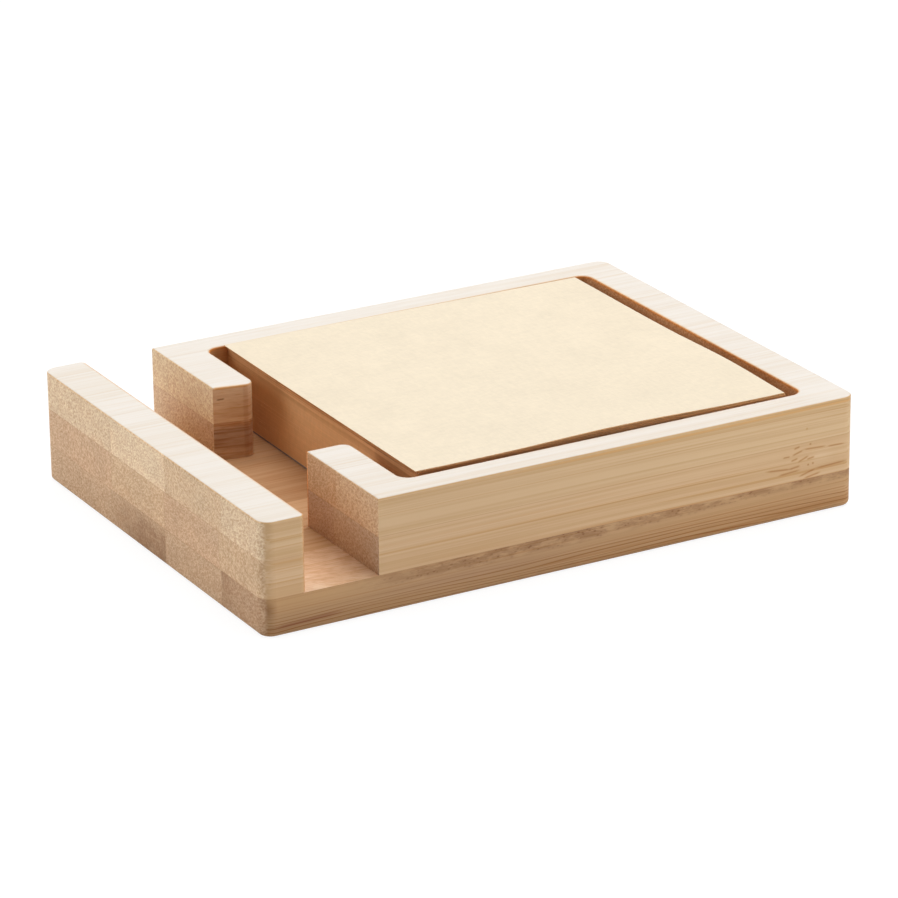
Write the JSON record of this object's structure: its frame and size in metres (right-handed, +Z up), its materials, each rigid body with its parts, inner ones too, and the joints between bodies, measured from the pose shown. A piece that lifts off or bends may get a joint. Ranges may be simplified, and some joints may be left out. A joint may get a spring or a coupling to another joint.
{
  "type": "memo pad holder",
  "caption": "Bamboo desk holder with a front lip, a phone slot across its width and an open tray that holds a square pad of kraft memo sheets, with a finger notch.",
  "frame": {"origin": "centre of the holder's underside, on the surface that it stands on", "axes": "+X along the lip, to the right as seen from the lip's front; +Y from the lip to the back of the tray; +Z up"},
  "size_m": [0.088, 0.1204, 0.0224],
  "materials": {
    "bamboo_base_ply": "sanded, matt",
    "bamboo_middle_ply": "sanded, matt",
    "bamboo_top_ply": "sanded, matt",
    "kraft_sheets": "cut edges of kraft paper, matt",
    "kraft_sheet": "kraft paper, matt",
    "backing_paper": "dark paper, matt"
  },
  "bodies": {
    "holder": {"base_strip_1": "bamboo_base_ply", "base_strip_2": "bamboo_base_ply", "base_strip_3": "bamboo_base_ply", "base_strip_4": "bamboo_base_ply", "base_strip_5": "bamboo_base_ply", "lip_middle_strip_1": "bamboo_middle_ply", "lip_middle_strip_2": "bamboo_middle_ply", "lip_middle_strip_3": "bamboo_middle_ply", "lip_middle_strip_4": "bamboo_middle_ply", "lip_middle_strip_5": "bamboo_middle_ply", "lip_top_strip_1": "bamboo_top_ply", "lip_top_strip_2": "bamboo_top_ply", "lip_top_strip_3": "bamboo_top_ply", "lip_top_strip_4": "bamboo_top_ply", "lip_top_strip_5": "bamboo_top_ply", "tray_middle_strip_1": "bamboo_middle_ply", "tray_middle_strip_2_back": "bamboo_middle_ply", "tray_middle_strip_2_front": "bamboo_middle_ply", "tray_middle_strip_3": "bamboo_middle_ply", "tray_middle_strip_4_back": "bamboo_middle_ply", "tray_middle_strip_4_front": "bamboo_middle_ply", "tray_middle_strip_5": "bamboo_middle_ply", "tray_top_strip_1": "bamboo_top_ply", "tray_top_strip_2_back": "bamboo_top_ply", "tray_top_strip_2_front": "bamboo_top_ply", "tray_top_strip_3": "bamboo_top_ply", "tray_top_strip_4_back": "bamboo_top_ply", "tray_top_strip_4_front": "bamboo_top_ply", "tray_top_strip_5": "bamboo_top_ply"},
    "memo_pad": {"pad_backing_sheet": "backing_paper", "pad_sheet_stack": "kraft_sheets", "pad_upper_sheets": "kraft_sheets"},
    "top_sheet": {"pad_top_sheet": "kraft_sheet"}
  },
  "joints": [
    {"name": "memo_pad_lift", "type": "slide", "parent": "holder", "child": "memo_pad", "axis": [0, 0, 1], "range_m": [0, 0.02]},
    {"name": "top_sheet_peel", "type": "hinge", "parent": "memo_pad", "child": "top_sheet", "pos_m": [0.0004, 0.0494, 0.02155], "axis": [-0.9999, 0.0107, 0], "range_deg": [0, 120]}
  ]
}
